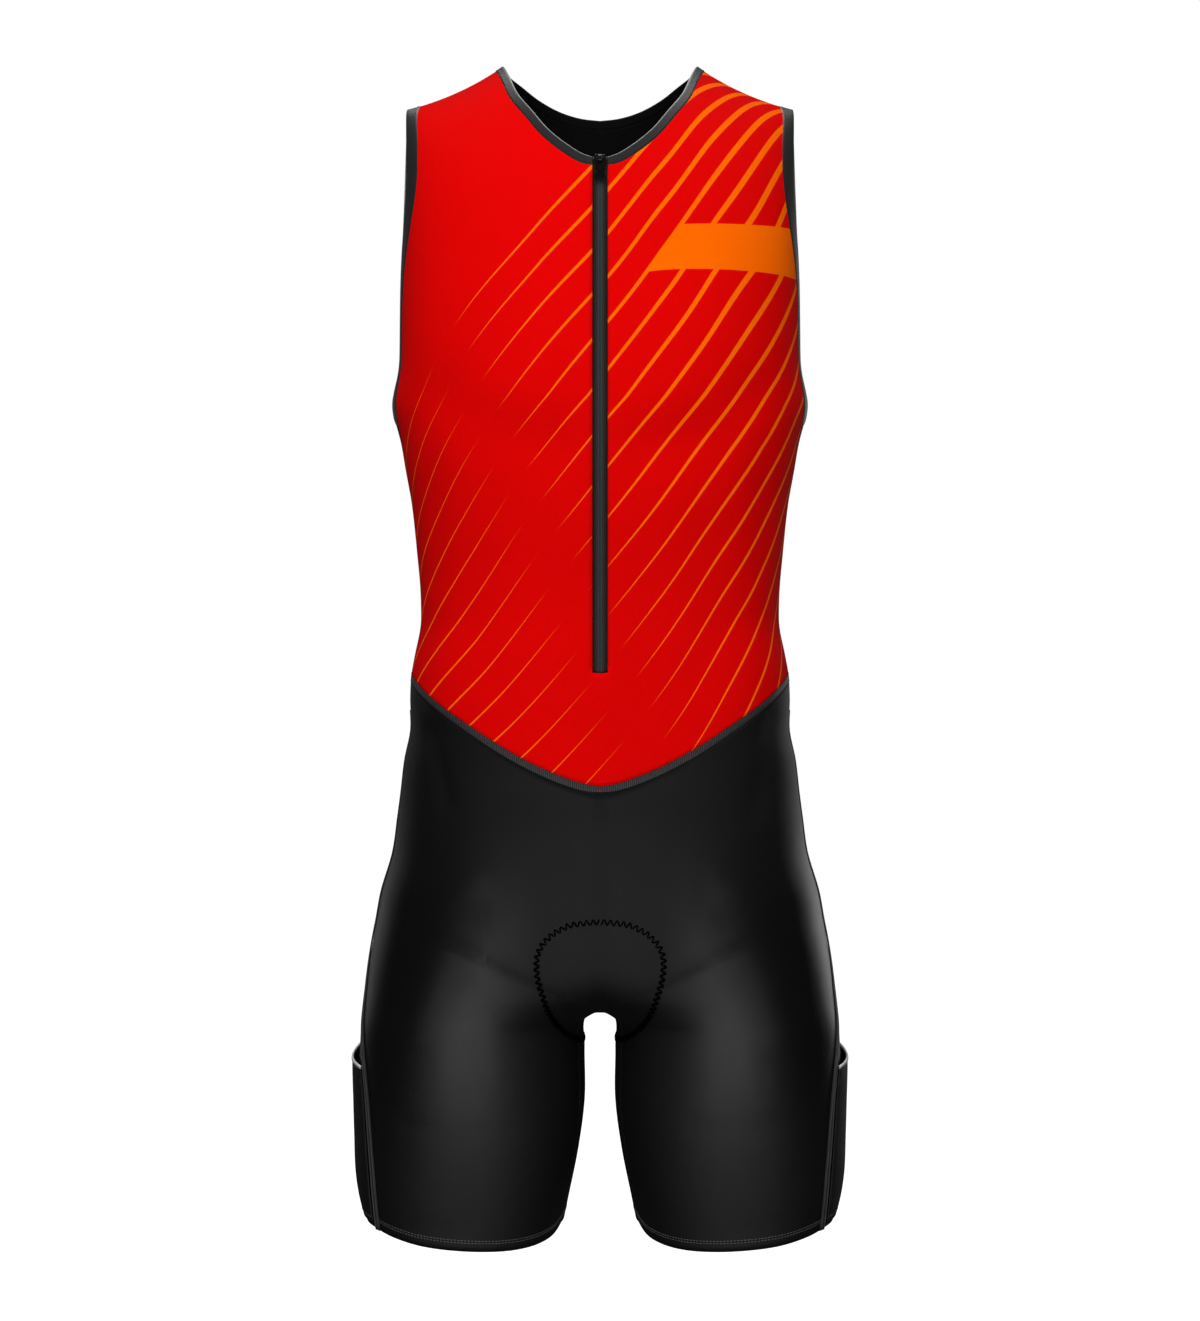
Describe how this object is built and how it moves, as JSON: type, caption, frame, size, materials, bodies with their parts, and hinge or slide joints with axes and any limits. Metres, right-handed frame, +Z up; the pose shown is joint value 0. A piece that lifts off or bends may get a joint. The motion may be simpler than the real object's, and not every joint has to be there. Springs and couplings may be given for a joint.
{
  "type": "triathlon suit",
  "caption": "Sleeveless one-piece suit of knit cloth with a front zip and thigh-length legs, filled out as worn with no wearer, open at neck, arms and legs.",
  "frame": {"origin": "midpoint between the two shoulder straps on the centre plane, level with the middle of the straps' slope, where the wearer's shoulders carry the suit", "axes": "+Z up, -Y towards the suit's front, +X towards the wearer's left"},
  "size_m": [0.405, 0.245, 0.9385],
  "materials": {
    "red_knit": "matte knit with orange stripes",
    "black_knit": "matte knit",
    "black_satin": "satin stretch knit",
    "binding": "satin elastic",
    "seam_tape": "flat stitched tape",
    "zip_tape": "woven tape with coil",
    "pad": "brushed foam pad",
    "zip_metal": "painted black"
  },
  "bodies": {
    "suit": {"torso_front": "red_knit", "torso_back": "black_knit", "neck_binding": "binding", "armhole_binding_left": "binding", "armhole_binding_right": "binding", "waist_band_front": "seam_tape", "waist_band_back": "seam_tape", "shorts_front": "black_satin", "shorts_back": "black_satin", "inner_leg_panel": "black_satin", "side_seam_tape_left": "seam_tape", "side_seam_tape_right": "seam_tape", "pocket_left": "black_satin", "pocket_right": "black_satin", "pocket_binding_left": "binding", "pocket_binding_right": "binding", "seat_pad": "pad", "zip_tape_left": "zip_tape", "zip_tape_right": "zip_tape", "zip_slider": "zip_metal"},
    "tab": {"pull_tab": "zip_metal"}
  },
  "joints": [
    {"name": "pull_tab_swing", "type": "hinge", "parent": "suit", "child": "tab", "pos_m": [0, -0.10771, -0.07853], "axis": [-1, 0, 0], "range_deg": [0, 160]}
  ]
}
